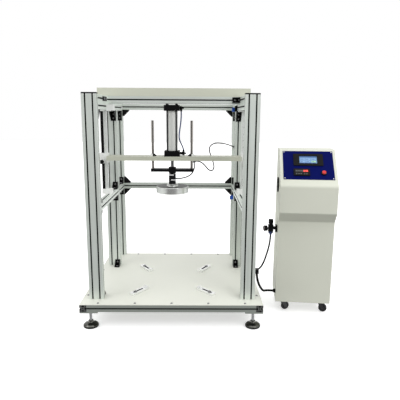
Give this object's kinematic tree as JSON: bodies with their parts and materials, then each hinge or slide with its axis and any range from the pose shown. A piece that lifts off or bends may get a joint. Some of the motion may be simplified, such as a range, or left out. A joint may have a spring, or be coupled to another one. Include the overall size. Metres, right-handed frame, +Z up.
{
  "type": "chair seat impact testing machine",
  "caption": "Seat impact tester: slotted-profile gantry whose air ram drives a load cell and impact disc down onto a seat on the deck, with a castored sloping-front control cabinet beside it.",
  "frame": {"origin": "bottom centre of the whole machine's box, on the floor", "axes": "+Z up, +X to the right seen from the front (from the gantry to the cabinet), +Y to the rear"},
  "size_m": [1.475, 0.93, 1.339],
  "materials": {
    "profile": "clear anodised extrusion, fine draw lines along its length",
    "cream": "satin cream powder coat",
    "bracket_black": "black die-cast, fine texture",
    "screw_steel": "dark zinc",
    "plated_steel": "bright plated",
    "foot_steel": "black coated pad and plated stem",
    "rubber": "matt black rubber",
    "rail_steel": "ground steel",
    "black_plastic": "matt black",
    "pale_plastic": "matt off-white",
    "barrel": "anodised tube",
    "anodised_black": "black anodised",
    "white_metal": "white coated",
    "cell_steel": "nickel plated",
    "disc_steel": "turned and polished",
    "clamp_steel": "zinc plated",
    "panel_blue": "satin deep blue",
    "screen": "lit touch screen",
    "red_plastic": "gloss red",
    "grey_plastic": "matt grey",
    "castor_steel": "dark plated pressing",
    "wheel": "black nylon and rubber",
    "tube_blue": "translucent blue polyurethane",
    "cable_black": "black sheath",
    "cable_grey": "dark grey sheath"
  },
  "bodies": {
    "machine": {"base_beams": "profile", "deck_plate": "cream", "frame_screws": "screw_steel", "foot_plates": "profile", "levelling_feet": "foot_steel", "foot_rubbers": "rubber", "posts": "profile", "upper_beams": "profile", "top_cover": "cream", "corner_gussets": "bracket_black", "post_caps": "black_plastic", "guide_rails": "rail_steel", "guide_backing_bars": "anodised_black", "rail_end_blocks": "pale_plastic", "limit_sensors": "black_plastic", "cable_glands": "black_plastic", "cabinet_shell": "cream", "control_panel": "panel_blue", "hmi_housing": "black_plastic", "hmi_screen": "screen", "counter_housing": "black_plastic", "fan_guard": "black_plastic", "regulator_body": "black_plastic", "control_electronics": "grey_plastic", "load_cell_cable_rear": "cable_grey", "supply_hose": "cable_black", "signal_cable": "cable_black"},
    "crossbeam_unit": {"crossbeam": "cream", "crossbeam_carriages": "white_metal", "cylinder_end_caps": "anodised_black", "cylinder_barrel": "barrel", "tie_rods": "plated_steel", "guide_bushings": "white_metal", "beam_fittings": "black_plastic", "ram_air_tube": "tube_blue", "load_cell_cable": "cable_grey"},
    "ram": {"piston": "barrel", "piston_rod": "plated_steel", "guide_rods": "plated_steel", "yoke_bar": "anodised_black", "load_cell": "cell_steel", "impact_disc": "disc_steel"},
    "knob_left": {"clamp_knob_left": "black_plastic"},
    "knob_right": {"clamp_knob_right": "black_plastic"},
    "door": {"rear_door": "cream"},
    "button": {"stop_button": "red_plastic"},
    "fan": {"fan_rotor": "black_plastic"},
    "regulator_knob_body": {"regulator_knob": "black_plastic"},
    "seat_clamp_front_left": {"specimen_clamp_front_left": "clamp_steel"},
    "castor_front_left": {"castor_fork_front_left": "castor_steel"},
    "wheel_front_left": {"castor_wheel_front_left": "wheel"},
    "seat_clamp_front_right": {"specimen_clamp_front_right": "clamp_steel"},
    "castor_front_right": {"castor_fork_front_right": "castor_steel"},
    "wheel_front_right": {"castor_wheel_front_right": "wheel"},
    "seat_clamp_rear_left": {"specimen_clamp_rear_left": "clamp_steel"},
    "castor_rear_left": {"castor_fork_rear_left": "castor_steel"},
    "wheel_rear_left": {"castor_wheel_rear_left": "wheel"},
    "seat_clamp_rear_right": {"specimen_clamp_rear_right": "clamp_steel"},
    "castor_rear_right": {"castor_fork_rear_right": "castor_steel"},
    "wheel_rear_right": {"castor_wheel_rear_right": "wheel"}
  },
  "joints": [
    {"name": "crossbeam_lift", "type": "slide", "parent": "machine", "child": "crossbeam_unit", "axis": [0, 0, 1], "range_m": [-0.15, 0], "deforming": ["load_cell_cable_rear"]},
    {"name": "ram_stroke", "type": "slide", "parent": "crossbeam_unit", "child": "ram", "axis": [0, 0, -1], "range_m": [0, 0.18], "deforming": ["load_cell_cable"]},
    {"name": "knob_left_turn", "type": "hinge", "parent": "crossbeam_unit", "child": "knob_left", "pos_m": [-0.67151, -0.0453, 0.899], "axis": [0, -1, 0], "continuous": true},
    {"name": "knob_right_turn", "type": "hinge", "parent": "crossbeam_unit", "child": "knob_right", "pos_m": [0.21649, -0.0453, 0.899], "axis": [0, -1, 0], "continuous": true},
    {"name": "rear_door_swing", "type": "hinge", "parent": "machine", "child": "door", "pos_m": [0.72861, -0.01163, 0.5], "axis": [0, 0, -1], "range_deg": [0, 110]},
    {"name": "stop_button_press", "type": "slide", "parent": "machine", "child": "button", "axis": [0.0768, 0.7308, -0.6783], "range_m": [0, 0.004], "stiffness_N_per_m": 500},
    {"name": "fan_spin", "type": "hinge", "parent": "machine", "child": "fan", "pos_m": [0.40055, -0.14326, 0.778], "axis": [0.9945, -0.1045, 0], "continuous": true},
    {"name": "regulator_knob_turn", "type": "hinge", "parent": "machine", "child": "regulator_knob_body", "pos_m": [0.36088, -0.15719, 0.54], "axis": [0, 0, 1], "range_deg": [-360, 360]},
    {"name": "seat_clamp_front_left_slide", "type": "slide", "parent": "machine", "child": "seat_clamp_front_left", "axis": [0.5927, 0.8054, 0], "range_m": [-0.05, 0.01]},
    {"name": "seat_clamp_front_right_slide", "type": "slide", "parent": "machine", "child": "seat_clamp_front_right", "axis": [-0.6748, 0.738, 0], "range_m": [-0.05, 0.01]},
    {"name": "seat_clamp_rear_left_slide", "type": "slide", "parent": "machine", "child": "seat_clamp_rear_left", "axis": [0.5547, -0.8321, 0], "range_m": [-0.05, 0.01]},
    {"name": "seat_clamp_rear_right_slide", "type": "slide", "parent": "machine", "child": "seat_clamp_rear_right", "axis": [-0.4961, -0.8682, 0], "range_m": [-0.05, 0.01]},
    {"name": "castor_front_left_swivel", "type": "hinge", "parent": "machine", "child": "castor_front_left", "pos_m": [0.44411, -0.18806, 0.06], "axis": [0, 0, 1], "continuous": true},
    {"name": "castor_front_left_roll", "type": "hinge", "parent": "castor_front_left", "child": "wheel_front_left", "pos_m": [0.46207, -0.18187, 0.025], "axis": [-0.3256, 0.9455, 0], "continuous": true},
    {"name": "castor_front_right_swivel", "type": "hinge", "parent": "machine", "child": "castor_front_right", "pos_m": [0.66887, -0.21168, 0.06], "axis": [0, 0, 1], "continuous": true},
    {"name": "castor_front_right_roll", "type": "hinge", "parent": "castor_front_right", "child": "wheel_front_right", "pos_m": [0.6873, -0.21628, 0.025], "axis": [0.2419, 0.9703, 0], "continuous": true},
    {"name": "castor_rear_left_swivel", "type": "hinge", "parent": "machine", "child": "castor_rear_left", "pos_m": [0.45916, -0.04486, 0.06], "axis": [0, 0, 1], "continuous": true},
    {"name": "castor_rear_left_roll", "type": "hinge", "parent": "castor_rear_left", "child": "wheel_rear_left", "pos_m": [0.46749, -0.02777, 0.025], "axis": [-0.8988, 0.4384, 0], "continuous": true},
    {"name": "castor_rear_right_swivel", "type": "hinge", "parent": "machine", "child": "castor_rear_right", "pos_m": [0.68392, -0.06847, 0.06], "axis": [0, 0, 1], "continuous": true},
    {"name": "castor_rear_right_roll", "type": "hinge", "parent": "castor_rear_right", "child": "wheel_rear_right", "pos_m": [0.66855, -0.0573, 0.025], "axis": [-0.5878, -0.809, 0], "continuous": true}
  ]
}
